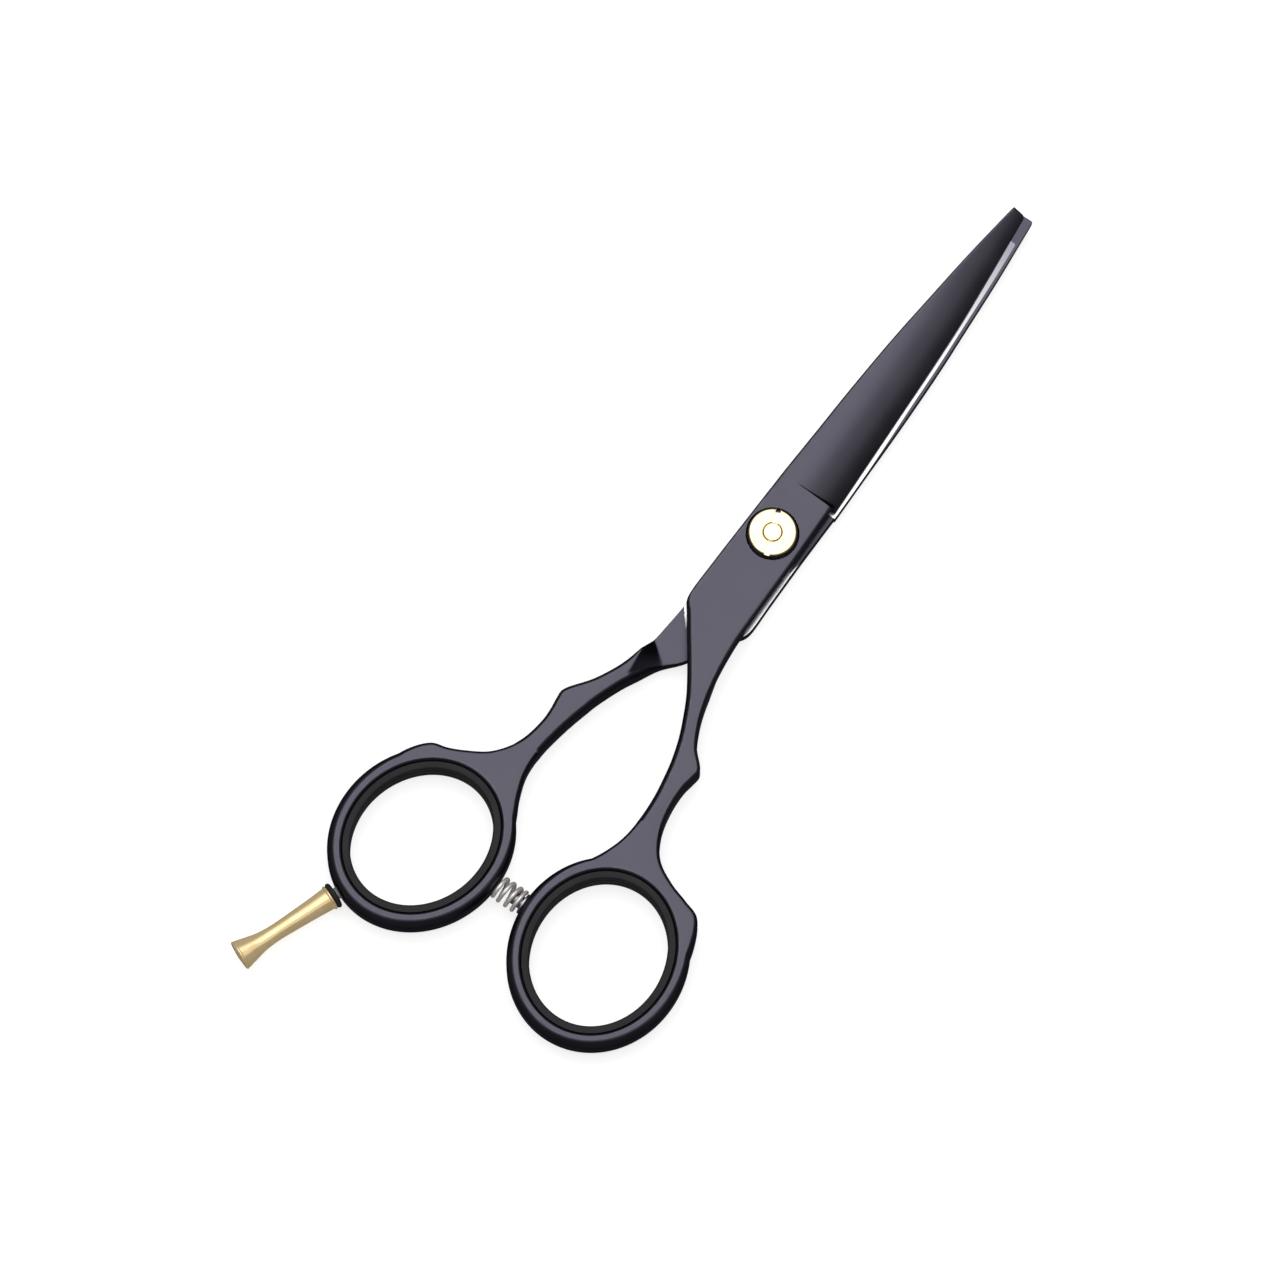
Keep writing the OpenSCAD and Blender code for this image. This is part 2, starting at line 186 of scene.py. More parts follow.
def grid_faces(rows, cols, start=0, wrap=False):
    """Four-sided faces of a grid of rows x cols points; wrap joins the last column to the first."""
    i, j = np.meshgrid(np.arange(rows - 1), np.arange(cols - (0 if wrap else 1)), indexing="ij")
    k = (j + 1) % cols
    corners = [i * cols + j, i * cols + k, (i + 1) * cols + k, (i + 1) * cols + j]
    return (start + np.stack(corners, -1)).reshape(-1, 4)


def make(name, points, faces, attributes=None, sharp=32, weld=1e-6):
    """A smooth-shaded object from points in millimetres, with touching points welded, faces turned
    outwards and edges over sharp degrees kept crisp."""
    mesh = bpy.data.meshes.new(name)
    mesh.from_pydata((np.asarray(points, float) * MM).tolist(), [], np.asarray(faces).tolist())
    for key, values in (attributes or {}).items():
        mesh.attributes.new(key, "FLOAT", "POINT").data.foreach_set("value", np.asarray(values, np.float32))
    bm = bmesh.new()
    bm.from_mesh(mesh)
    bmesh.ops.remove_doubles(bm, verts=bm.verts, dist=weld)
    bmesh.ops.dissolve_degenerate(bm, edges=bm.edges, dist=weld)
    bmesh.ops.recalc_face_normals(bm, faces=bm.faces)
    bm.to_mesh(mesh)
    bm.free()
    mesh.polygons.foreach_set("use_smooth", np.ones(len(mesh.polygons), bool))
    mesh.set_sharp_from_angle(angle=math.radians(sharp))
    obj = bpy.data.objects.new(name, mesh)
    bpy.context.scene.collection.objects.link(obj)
    return obj


def cut(obj, *cutters, sharp=32):
    """Takes the cutters away from obj for good, and removes them."""
    for cutter in cutters:
        m = obj.modifiers.new("cut", "BOOLEAN")
        m.operation, m.solver, m.object = "DIFFERENCE", "EXACT", cutter
    settle(obj)
    for cutter in cutters:
        bpy.data.objects.remove(cutter)
    obj.data.polygons.foreach_set("use_smooth", np.ones(len(obj.data.polygons), bool))
    obj.data.set_sharp_from_angle(angle=math.radians(sharp))


def settle(obj):
    """Applies an object's modifiers to its mesh."""
    bpy.context.view_layer.update()
    done = bpy.data.meshes.new_from_object(obj.evaluated_get(bpy.context.evaluated_depsgraph_get()))
    obj.modifiers.clear()
    obj.data = done


def turned(name, profile, sides=96, place=None, sharp=32):
    """A turned piece: each (r, z) of the profile goes round the Z axis, x = r cos a, y = r sin a.
    The attribute "along" is the distance in millimetres along the profile, for turning marks."""
    p = np.asarray(profile, float)
    angle = np.linspace(0, 2 * np.pi, sides, endpoint=False)
    x, y = np.outer(p[:, 0], np.cos(angle)), np.outer(p[:, 0], np.sin(angle))
    z = np.repeat(p[:, 1:], sides, 1)
    points = np.stack([x, y, z], -1).reshape(-1, 3)
    along = np.concatenate([[0], np.linalg.norm(np.diff(p, axis=0), axis=1).cumsum()])
    if place is not None:
        points = points @ np.array(place)[:3, :3].T + np.array(place)[:3, 3]
    return make(name, points, grid_faces(len(p), sides, wrap=True), {"along": np.repeat(along, sides)}, sharp)


def arc(centre, r, start, end, n=6):
    """Points of a circle's arc in the plane, from start to end degrees."""
    a = np.radians(np.linspace(start, end, n))
    return [(centre[0] + r * math.cos(t), centre[1] + r * math.sin(t)) for t in a]


def placed(origin, direction):
    """Matrix that carries the Z axis to direction through origin."""
    turn = Vector(direction).to_track_quat("Z", "Y").to_matrix().to_4x4()
    return Matrix.Translation(Vector(origin)) @ turn


# ------------------------------------------------------------------------------- the two halves

RIM_STEPS = (1 - np.cos(np.linspace(0, np.pi, 10))) / 2
WALL_STEPS = np.array([0.07, 0.5, 0.95])
MIDDLE = 24
# Sections of the blade, as shares of the way: close together at the square tip and at the heel
CORNER_V = 59.6
TIP_SECTIONS = np.array([1, 0.998, 0.99, 0.975, 0.95, 0.91, 0.85, 0.76, 0.64, 0.5, 0.3, 0.1])
HEEL_SECTIONS = np.array([0.95, 0.85, 0.75, 0.65, 0.55, 0.45, 0.36, 0.28, 0.2, 0.13, 0.07, 0.03, 0])


def across(width, left, right):
    """Places across sections of these widths: close together over the left and right rims, and
    even between them."""
    width = np.asarray(width, float)[:, None]
    left = np.minimum(np.reshape(left, (-1, 1)), 0.3 * width)
    right = np.minimum(np.reshape(right, (-1, 1)), 0.3 * width)
    middle = np.linspace(0, 1, MIDDLE + 2)[1:-1]
    return np.concatenate([left * RIM_STEPS, left + (width - left - right) * middle,
                           width - right * RIM_STEPS[::-1]], 1)


def crown_to_edge(crown):
    """How far the convex grind runs across from its crown to the cutting edge."""
    return np.sqrt(GRIND_R**2 - (GRIND_R - crown + EDGE_LAND) ** 2)


EDGE_LINE = curve(EDGE, 12)


def grind_axis(v):
    """The wheel's axis, across and up, at place v along the blade. The crown sinks evenly from
    heel to tip, and the axis keeps its distance from the cutting edge."""
    crown = HALF_T + (TIP_CROWN - HALF_T) * np.clip((v - HEEL_V) / (TIP_V - HEEL_V), 0, 1)
    return np.interp(v, EDGE_LINE[:, 1], EDGE_LINE[:, 0]) - crown_to_edge(crown), crown - GRIND_R


def grind(u, v):
    """Height of the convex grind in the blade's own frame: a circle about grind_axis."""
    axis_u, axis_w = grind_axis(v)
    return axis_w + np.sqrt(GRIND_R**2 - (u - axis_u) ** 2)


def blade_frame(half):
    """(turn matrix, shift) from the blade's own frame to the half frame."""
    side = -1 if half["turned_over"] else 1
    c, s = math.cos(half["blade_lean"]), math.sin(half["blade_lean"]) * side
    return np.array([[c, s], [-s, c]]), np.array([side * BLADE_X, 0])


def outer_rims(loop, side):
    """Width and height of the outer face's rim along an outline: side 0 is the inside or spine,
    1 the outside or cutting edge, 2 the ring."""
    v = loop[:, 1]
    if side == 0:
        shank = rise(v, -13.8, -16.5)
        return 0.27 + 0.45 * shank, 0.2 + 0.5 * shank
    if side == 1:
        blade = v > HEEL_V + 0.5
        shank = rise(v, -14, -24)
        return np.where(blade, 0.02, 0.62 - 0.1 * shank), np.where(blade, 0.01, 0.5)
    low = rise(v, -50, -66)
    return 0.5 + 0.6 * low, 1.05 + 0.25 * low


def inner_rims(loop, side):
    """The same for the face that meets the other half, which has its full rim only on the shank."""
    width, height = outer_rims(loop, side)
    shank = rise(loop[:, 1], -22.5, -27.5)
    return 0.06 + (width - 0.06) * shank, 0.06 + (height - 0.06) * shank


def step_up(u, v):
    """How far the shank has grown through the other half's layer, 0 to 1: a slanting ramp that
    leaves the inner face at one line and is longer towards the inside of the shank."""
    along = (u - 5.2) * 0.604 - (v + 22.3) * 0.797
    over = -(u - 5.2) * 0.797 - (v + 22.3) * 0.604
    x = along / np.clip(3.07 + (over - 1.75) * 1.11, 2.3, 5.2)
    return (np.sqrt(x * x + 0.002) - np.sqrt((x - 1) ** 2 + 0.002) + 1) / 2


def body_top(half, u, v):
    """Height of the outer face before its rims: flat, but near the heel the spine side follows the
    grind, and the shank is a little slimmer than body and ring."""
    turn, shift = blade_frame(half)
    bu = (np.stack([u, v], -1) - shift) @ turn
    axis_u = grind_axis(HEEL_V)[0]
    fall = GRIND_R - np.sqrt(GRIND_R**2 - np.minimum(bu[..., 0] - axis_u, 0) ** 2)
    slim = 0.14 * rise(v, -22, -30) * rise(v, -56, -48)
    return HALF_T - fall * rise(v, 1, HEEL_V) - slim


def half_surface(half):
    """Points in millimetres, faces and attributes of one half: a strip of closed sections from the
    blade's tip down to the neck, and a ring whose rays meet the strip's last section."""
    turn, shift = blade_frame(half)
    heel = half["heel"]

    # Sections of the blade, from the tip to the heel
    near_tip = CORNER_V + (TIP_V - CORNER_V) * TIP_SECTIONS
    v = np.concatenate([near_tip, np.linspace(CORNER_V - 0.1, heel + 1.0, 85), heel + 0.9 * HEEL_SECTIONS])
    spine, edge = curve(SPINE, 8), curve(EDGE, 8)
    left, right = np.interp(v, spine[:, 1], spine[:, 0]), np.interp(v, edge[:, 1], edge[:, 0])
    corner = 1 - np.sqrt(1 - np.clip((v - CORNER_V) / (TIP_V - CORNER_V), 0, 1) ** 2)
    left, right = left + 0.12 * corner, right - 0.3 * corner
    slant = 0.06 * rise(v, 57.5, TIP_V)

    inside, outside = curve(half["inside"], STATION_STEPS), curve(half["outside"], STATION_STEPS)
    neck = sum(STATION_STEPS[:NECK])
    heel_line = np.array([[left[-1], heel], [right[-1], heel]]) @ turn.T + shift
    fit = np.polyfit(heel_line[:, 0], heel_line[:, 1], 1)

    # The edge bevel: narrow along the blade, wide at the heel, where it meets the body's side wall
    body_right = (np.array([half["outside"][0][0], heel]) - shift) @ turn
    bevel = 0.08 + (max(right[-1] - body_right[0], 0.08) - 0.08) * rise(v, heel + 2.2, heel + 0.8)
    bevel = np.minimum(bevel, 0.25 * (right - left))

    outer_u = left[:, None] + across(right - left - bevel, 0.25, 0.55)
    inner_u = left[:, None] + across(right - left, 0.25, 0.55)
    honed_u = np.minimum(bevel * 0.94, 0.07)
    wall_u = right[:, None] - np.stack([bevel * 0.98, honed_u, honed_u * 0.96, np.zeros_like(bevel)], 1)
    blade_v = v[:, None]

    def to_half(u):
        """Points of the blade's sections, in the half's coordinates."""
        return np.stack([u, blade_v - slant[:, None] * (u - left[:, None])], -1) @ turn.T + shift

    outer_p, inner_p, wall_p = to_half(outer_u), to_half(inner_u), to_half(wall_u)
    left_p = np.repeat(outer_p[:, :1], len(WALL_STEPS), 1)

    # Sections of body and shank
    rows = inside[:neck + 1].copy(), outside[:neck + 1].copy()
    for run in rows:
        run[0, 1] = np.polyval(fit, run[0, 0]) - 0.02
    width = np.linalg.norm(rows[1] - rows[0], axis=1)
    grip = rise(rows[0][:, 1], -13, -17)
    offset = across(width, 0.25 + 0.5 * grip, 0.55)
    low_p = rows[0][:, None] + (rows[1] - rows[0])[:, None] * (offset / width[:, None])[..., None]

    # Outline and rims
    ring = np.array(half["ring"])

    def polar(points):
        """Angle and distance from the ring's centre."""
        d = points - ring
        return np.unwrap(np.arctan2(d[:, 1], d[:, 0])), np.linalg.norm(d, axis=1)

    in_a, in_r = polar(inside[neck:])
    out_a, out_r = polar(outside[neck:])
    around = np.linspace(out_a[0], in_a[0] - 2 * np.pi, RING_RAYS + 1)
    reach = np.maximum.reduce([
        oval_radius(half["ring_r"], around - half["lean"]),
        np.interp(around, out_a[::-1], out_r[::-1], left=0, right=out_r[0]),
        np.interp(around + 2 * np.pi, in_a, in_r, left=in_r[0], right=0)])
    ring_line = ring + reach[:, None] * np.stack([np.cos(around), np.sin(around)], -1)
    blade_right = wall_p[:, 3]
    sides = [(outer_p[:, 0], 0), (low_p[:, 0], 0), (ring_line[::-1], 2), (low_p[::-1, -1], 1),
             (blade_right[::-1], 1)]
    line = np.concatenate([s[0] for s in sides])
    outer_rim = np.concatenate([np.stack(outer_rims(*s), -1) for s in sides])
    inner_rim = np.concatenate([np.stack(inner_rims(*s), -1) for s in sides])

    def rims(p, table, power):
        """Drop under the face, and how near the point is to a crisp line of its rim."""
        d, k = nearest(p.reshape(-1, 2), line)
        w, h = table[k].T
        near = np.exp(-((d - w) / 0.07) ** 2) * (w > 0.1) + np.exp(-(d / 0.05) ** 2) * (w > 0.04)
        soft = 0.07 * (1 - np.clip(d / 1.7, 0, 1)) ** 2 * rise(p.reshape(-1, 2)[:, 1], -18, -26)
        return (rim_drop(d, w, h, power) + soft).reshape(p.shape[:-1]), near.reshape(p.shape[:-1])

    def inner_base(p):
        """Height of the inner side: 0 on the inner face, -INNER_Z where the shank is full thick."""
        return -INNER_Z * step_up(p[..., 0], p[..., 1])

    # Heights of the blade
    drop, near_b = rims(outer_p, outer_rim, 1.5)
    hill = grind(outer_u, blade_v)
    to_body = body_top(half, outer_p[..., 0], outer_p[..., 1])
    body_rim = rim_drop(half["outside"][0][0] - outer_p[..., 0], 0.62, 0.5)
    target = np.where(outer_p[..., 0] < half["outside"][0][0] + 0.01, to_body - body_rim, hill)
    rise_w = np.maximum(target - hill, 0)
    reach_v = 0.1 + 0.45 * rise_w
    t = np.clip((blade_v - heel) / reach_v, 0, 1)
    fillet = rise_w * (1 - t) ** 1.5
    outer_w = hill + fillet - drop
    share = np.clip((inner_u - left[:, None]) / np.maximum(right - left, 1e-6)[:, None], 0, 1)
    along = rise(blade_v, heel, heel + 5) * rise(blade_v, 58, 50)
    hollow = 0.13 * np.clip(1 - ((share - 0.47) / 0.4) ** 2, 0, 1) * along
    drop_in, _ = rims(inner_p, inner_rim, 1.5)
    inner_w = hollow + np.minimum(drop_in, 0.03)
    wall_w = np.stack([*(grind(wall_u[:, k], v) for k in range(3)), np.full(len(v), 0.04)], 1)
    wall_w = np.minimum(wall_w, outer_w[:, -1:])
    left_w = outer_w[:, :1] + (inner_w[:, :1] - outer_w[:, :1]) * WALL_STEPS

    # Heights of body and shank
    drop, near_l = rims(low_p, outer_rim, 1.5)
    low_outer = body_top(half, low_p[..., 0], low_p[..., 1]) - drop
    slim = 0.14 * rise(low_p[..., 1], -27, -33) * rise(low_p[..., 1], -56, -48)
    drop_in, near_li = rims(low_p, inner_rim, 1.5)
    low_inner = inner_base(low_p) + slim + drop_in

    def bare_at(p):
        """Millimetres inside the edge of the bright-ground part of the inner face (less than 0:
        coated). It ends a little past the other half's lower corner and on a slanting line below
        the heel; between that line and the heel only the ride area round the pivot is ground."""
        u, v = p[..., 0], p[..., 1]
        low = np.minimum(0.4 + (3.95 - u) * 0.82 + (v + 15.95) * 0.57, 0.03 * (v + 17.2))
        high = np.maximum(np.maximum(0.1 * (1.2 - v - 5.4 * (u + 5.8)), -3.2 - v), 4.4 - np.hypot(u, v))
        return np.clip(np.minimum(low, high), -1, 1)

    def loop_rows(outer, right_wall, inner, left_wall):
        """Rows that go once round each section."""
        return np.concatenate([outer, right_wall, inner[:, ::-1], left_wall[:, ::-1]], 1)

    def solid(p, w):
        """Points of the plane with their heights."""
        return np.concatenate([p, w[..., None]], -1)

    def walls(top, bottom, steps=WALL_STEPS):
        """Points down a wall, at these shares of its height."""
        return top[:, None] + (bottom - top)[:, None] * np.reshape(steps, (-1, 1))

    blade = loop_rows(solid(outer_p, outer_w), solid(wall_p, wall_w), solid(inner_p, inner_w),
                      solid(left_p, left_w))
    top, bottom = solid(low_p, low_outer), solid(low_p, low_inner)
    low = loop_rows(top, walls(top[:, -1], bottom[:, -1], [0.07, 0.35, 0.65, 0.95]), bottom,
                    walls(top[:, 0], bottom[:, 0]))
    left_0, right_0 = np.zeros((len(v), 3)), np.zeros((len(v), 4))
    ground = rise(v, 56.5, 55.5) * 2 - 1
    honed = np.stack([left_0[:, 0] - 1, left_0[:, 0] - 1, ground, ground], 1)
    coated_edge = 0.45 * rise(blade_v, 12, 30)
    inner_bare = np.clip(np.minimum(inner_u - left[:, None] - coated_edge, 56 - blade_v), -1, 1)
    blade_bare = loop_rows(np.full_like(outer_w, -1), honed, inner_bare, left_0 - 1)
    low_left, low_right = np.zeros((len(low_p), 3)), np.zeros((len(low_p), 4))
    low_bare = loop_rows(np.full_like(low_outer, -1), low_right - 1, bare_at(low_p), low_left - 1)
    blade_near = loop_rows(near_b, right_0, np.zeros_like(inner_w), left_0)
    low_near = loop_rows(near_l, low_right, near_li * rise(low_p[..., 1], -20, -27), low_left)

    # The ring: rays from its outline, or from the strip's last section, in to the hole
    start = np.concatenate([ring_line[:-1], low_p[-1, :-1]])
    angle, far = polar(start)
    ray = np.stack([np.cos(angle), np.sin(angle)], -1)
    hole = oval_radius(half["hole_r"], angle - half["lean"])
    depth = across(far - hole, 0.9, 0.6)
    ring_p = start[:, None] - ray[:, None] * depth[..., None]
    to_hole = (far - hole)[:, None] - depth
    bore = rim_drop(to_hole, 0.55, 0.7, 1.6)
    drop, near_r = rims(ring_p, outer_rim, 1.7)
    ring_outer = body_top(half, ring_p[..., 0], ring_p[..., 1]) - drop - bore
    slim = 0.14 * rise(ring_p[..., 1], -56, -48)
    drop, near_ri = rims(ring_p, inner_rim, 1.7)
    ring_inner = inner_base(ring_p) + slim + drop + bore
    # The shared section has the strip's own heights
    neck_cols = np.arange(RING_RAYS, RING_RAYS + low_p.shape[1] - 1)
    ring_outer[neck_cols, 0], ring_inner[neck_cols, 0] = low_outer[-1, :-1], low_inner[-1, :-1]
    ring_outer[0, 0], ring_inner[0, 0] = low_outer[-1, -1], low_inner[-1, -1]
    ring_top, ring_bottom = solid(ring_p, ring_outer), solid(ring_p, ring_inner)
    hole_wall = np.concatenate([ring_top[:, -1:], walls(ring_top[:, -1], ring_bottom[:, -1]),
                                ring_bottom[:, -1:]], 1)
    side = np.r_[0:RING_RAYS + 1]
    side_wall = np.concatenate([ring_top[side, :1], walls(ring_top[side, 0], ring_bottom[side, 0]),
                                ring_bottom[side, :1]], 1)
    hole_near = np.exp(-((to_hole - 0.55) / 0.07) ** 2)

    parts, faces, bare, near, count = [], [], [], [], 0
    wrap_rays = np.r_[0:len(start), 0]
    for block, b, n, wrap in (
            (np.concatenate([blade, low]), np.concatenate([blade_bare, low_bare]),
             np.concatenate([blade_near, low_near]), True),
            (ring_top[wrap_rays], None, (near_r + hole_near)[wrap_rays], False),
            (ring_bottom[wrap_rays], None, (near_ri + hole_near)[wrap_rays], False),
            (hole_wall[wrap_rays], None, None, False),
            (side_wall, None, None, False)):
        shape = block.shape[:2]
        parts.append(block.reshape(-1, 3))
        bare.append(np.full(shape[0] * shape[1], -1.0) if b is None else b.reshape(-1))
        near.append(np.zeros(shape[0] * shape[1]) if n is None else n.reshape(-1))
        faces.append(grid_faces(*shape, start=count, wrap=wrap))
        count += shape[0] * shape[1]
    points = np.concatenate(parts)
    if half["turned_over"]:
        points = np.stack([-points[:, 0], points[:, 1], HALF_T - points[:, 2]], -1)
    else:
        points = points + [0, 0, INNER_Z]
    # The attribute "rim" marks crisp rims and the hole's rim, where the coat is painted lighter, partly as
    # wear and partly as a painted highlight.
    attributes = {"bare": np.concatenate(bare), "rim": np.clip(np.concatenate(near), 0, 1)}
    return points, np.concatenate(faces), attributes


# Sections between neighbouring outline points: closest where the shank steps up
STATION_STEPS = [10, 10, 10, 6, 6, 10, 26, 26, 18, 12, 12, 10, 10, 10, 10, 10, 10, 10, 10, 10, 10]
RING_RAYS = 330

# --------------------------------------------------------------------------------- materials


class Tree:
    """A short way to write a node tree: add() places a node, sets its sockets and links them."""

    def __init__(self, tree):
        self.tree = tree

    def add(self, kind, out=0, inputs=None, **settings):
        n = self.tree.nodes.new(kind)
        for key, value in settings.items():
            setattr(n, key, value)
        for key, value in (inputs or {}).items():
            socket = n.inputs[key]
            if isinstance(value, bpy.types.NodeSocket):
                self.tree.links.new(value, socket)
            else:
                socket.default_value = value
        return n.outputs[out] if n.outputs else n

    def mix(self, factor, a, b):
        """Colour mix."""
        n = self.tree.nodes.new("ShaderNodeMix")
        n.data_type = "RGBA"
        for index, value in ((0, factor), (6, a), (7, b)):
            if isinstance(value, bpy.types.NodeSocket):
                self.tree.links.new(value, n.inputs[index])
            else:
                n.inputs[index].default_value = value
        return n.outputs[2]

    def blend(self, factor, a, b):
        """Number mix."""
        n = self.tree.nodes.new("ShaderNodeMix")
        for index, value in ((0, factor), (2, a), (3, b)):
            if isinstance(value, bpy.types.NodeSocket):
                self.tree.links.new(value, n.inputs[index])
            else:
                n.inputs[index].default_value = value
        return n.outputs[0]

    def math(self, operation, *values, clamp=False):
        """One sum on numbers."""
        n = self.tree.nodes.new("ShaderNodeMath")
        n.operation, n.use_clamp = operation, clamp
        for i, value in enumerate(values):
            if isinstance(value, bpy.types.NodeSocket):
                self.tree.links.new(value, n.inputs[i])
            else:
                n.inputs[i].default_value = value
        return n.outputs[0]

    def group(self, group, out=0, **inputs):
        """A node group, with its sockets set or linked by name."""
        named = {k.replace("_", " "): v for k, v in inputs.items()}
        return self.add("ShaderNodeGroup", out, named, node_tree=group)


def new_group(name, inputs, outputs):
    """An empty shader node group with these sockets, and its input and output nodes."""
    tree = bpy.data.node_groups.new(name, "ShaderNodeTree")
    for socket, kind, default in inputs:
        made = tree.interface.new_socket(socket, in_out="INPUT", socket_type=kind)
        if default is not None:
            made.default_value = default
    for socket, kind in outputs:
        tree.interface.new_socket(socket, in_out="OUTPUT", socket_type=kind)
    return Tree(tree), tree.nodes.new("NodeGroupInput").outputs, tree.nodes.new("NodeGroupOutput").inputs


def brushed_lines():
    """Fine scratches of a grinding belt: noise squeezed across the brushing direction."""
    t, given, out = new_group("brushed_lines", [
        ("Vector", "NodeSocketVector", None), ("Fineness", "NodeSocketVector", (1, 1, 1))],
        [("Lines", "NodeSocketFloat")])
    place = t.add("ShaderNodeVectorMath", operation="MULTIPLY",
                  inputs={0: given["Vector"], 1: given["Fineness"]})
    noise = t.add("ShaderNodeTexNoise",
                  inputs={"Vector": place, "Scale": 1.0, "Detail": 4.0, "Roughness": 0.65})
    t.tree.links.new(noise, out["Lines"])
    return t.tree


def cloudy_sheen():
    """Slow, soft variation of a finish: noise spread to use the whole range."""
    t, given, out = new_group("cloudy_sheen", [
        ("Vector", "NodeSocketVector", None), ("Size", "NodeSocketFloat", 300.0)],
        [("Cloud", "NodeSocketFloat")])
    slow = t.add("ShaderNodeTexNoise",
                 inputs={"Vector": given["Vector"], "Scale": given["Size"], "Detail": 3.0})
    spread = t.add("ShaderNodeMapRange", inputs={"Value": slow, "From Min": 0.3, "From Max": 0.7})
    t.tree.links.new(spread, out["Cloud"])
    return t.tree


def rim_wear_and_highlight():
    """Where handling has thinned the finish, together with a painted highlight: along crisp rims, broken up
    by noise.
    """
    t, given, out = new_group("rim_wear_and_highlight", [
        ("Vector", "NodeSocketVector", None), ("Rim", "NodeSocketFloat", 0.0),
        ("Amount", "NodeSocketFloat", 0.5)],
        [("Wear_and_highlight", "NodeSocketFloat")])
    specks = t.add("ShaderNodeTexNoise",
                   inputs={"Vector": given["Vector"], "Scale": 900.0, "Detail": 5.0})
    broken = t.add("ShaderNodeMapRange", inputs={"Value": specks, "From Min": 0.42, "From Max": 0.68})
    wear_and_highlight = t.math("MULTIPLY", t.math("MULTIPLY", given["Rim"], broken), given["Amount"], clamp=True)
    t.tree.links.new(wear_and_highlight, out["Wear_and_highlight"])
    return t.tree


BRUSHED, CLOUDY, RIM_WEAR_AND_HIGHLIGHT = brushed_lines(), cloudy_sheen(), rim_wear_and_highlight()


def new_material(name, **sockets):
    """A material with one Principled shader whose plain sockets are set here."""
    material = bpy.data.materials.new(name)
    material.use_nodes = True
    t = Tree(material.node_tree)
    shader = next(n for n in t.tree.nodes if n.type == "BSDF_PRINCIPLED")
    for key, value in sockets.items():
        shader.inputs[key.replace("_", " ")].default_value = value
    return material, t, shader.inputs


def attribute(t, name):
    """A number stored on the mesh."""
    return t.add("ShaderNodeAttribute", 2, attribute_name=name)


def black_coat():
    """Hard black coating on ground steel, satin with a violet cast, and the bright ground steel of
    the inner faces, told apart by the attribute "bare". The coat's rims are painted lighter, partly
    as wear and partly as a painted highlight, and the bare steel is painted darker towards the tip
    as painted shade."""
    material, t, shader = new_material("black_coat_on_ground_steel", Metallic=1.0,
                                       Specular_Tint=(0.35, 0.35, 0.38, 1))
    where = t.add("ShaderNodeTexCoord", 3)
    cloud = t.group(CLOUDY, Vector=where, Size=160.0)
    lengthwise = t.group(BRUSHED, Vector=where, Fineness=(9000.0, 450.0, 9000.0))
    crosswise = t.group(BRUSHED, Vector=where, Fineness=(500.0, 14000.0, 4000.0))
    wear_and_highlight = t.group(RIM_WEAR_AND_HIGHLIGHT, Vector=where, Rim=attribute(t, "rim"), Amount=0.22)
    bare = t.add("ShaderNodeMapRange",
                 inputs={"Value": attribute(t, "bare"), "From Min": -0.03, "From Max": 0.03})
    coat = t.mix(cloud, (0.066, 0.063, 0.082, 1), (0.074, 0.072, 0.09, 1))
    # Painted highlight and wear: the coat is mixed towards a light grey along crisp rims.
    coat = t.mix(wear_and_highlight, coat, (0.2, 0.19, 0.2, 1))
    steel = t.mix(crosswise, (0.64, 0.64, 0.66, 1), (0.8, 0.8, 0.81, 1))
    # Painted shade: the bare steel is mixed towards a dark grey from 26 to 55 mm along, darker towards the
    # tip.
    along = t.add("ShaderNodeSeparateXYZ", 1, inputs={"Vector": where})
    tip_shade = t.add("ShaderNodeMapRange", inputs={"Value": along, "From Min": 0.026, "From Max": 0.055})
    steel = t.mix(tip_shade, steel, (0.2, 0.2, 0.23, 1))
    t.tree.links.new(t.mix(bare, coat, steel), shader["Base Color"])
    coat_rough = t.math("ADD", t.blend(cloud, 0.27, 0.33), t.math("MULTIPLY", lengthwise, 0.06))
    steel_rough = t.blend(crosswise, 0.16, 0.3)
    t.tree.links.new(t.blend(bare, coat_rough, steel_rough), shader["Roughness"])
    height = t.blend(bare, lengthwise, crosswise)
    bump = t.add("ShaderNodeBump", inputs={"Height": height, "Strength": 0.06, "Distance": 0.00004})
    t.tree.links.new(bump, shader["Normal"])
    return material


def gold_plate(name, deep, pale, metal):
    """Polished gold plate with faint turning marks, from the attribute "along"."""
    material, t, shader = new_material(name, Metallic=metal)
    where = t.add("ShaderNodeTexCoord", 3)
    cloud = t.group(CLOUDY, Vector=where, Size=500.0)
    marks = t.add("ShaderNodeTexNoise", noise_dimensions="1D",
                  inputs={"W": attribute(t, "along"), "Scale": 14.0, "Detail": 3.0})
    t.tree.links.new(t.mix(cloud, (*deep, 1), (*pale, 1)), shader["Base Color"])
    rough = t.math("ADD", t.blend(cloud, 0.1, 0.16), t.math("MULTIPLY", marks, 0.05))
    t.tree.links.new(rough, shader["Roughness"])
    bump = t.add("ShaderNodeBump", inputs={"Height": marks, "Strength": 0.12, "Distance": 0.00003})
    t.tree.links.new(bump, shader["Normal"])
    return material


def steel_finish(name, dark, light, rough):
    """Bright steel with faint drawing or turning marks."""
    material, t, shader = new_material(name, Metallic=0.55)
    where = t.add("ShaderNodeTexCoord", 3)
    cloud = t.group(CLOUDY, Vector=where, Size=900.0)
    marks = t.add("ShaderNodeTexNoise", noise_dimensions="1D",
                  inputs={"W": attribute(t, "along"), "Scale": 10.0, "Detail": 3.0})
    t.tree.links.new(t.mix(cloud, (*dark, 1), (*light, 1)), shader["Base Color"])
    t.tree.links.new(t.blend(cloud, rough, rough + 0.1), shader["Roughness"])
    bump = t.add("ShaderNodeBump", inputs={"Height": marks, "Strength": 0.1, "Distance": 0.00003})
    t.tree.links.new(bump, shader["Normal"])
    return material


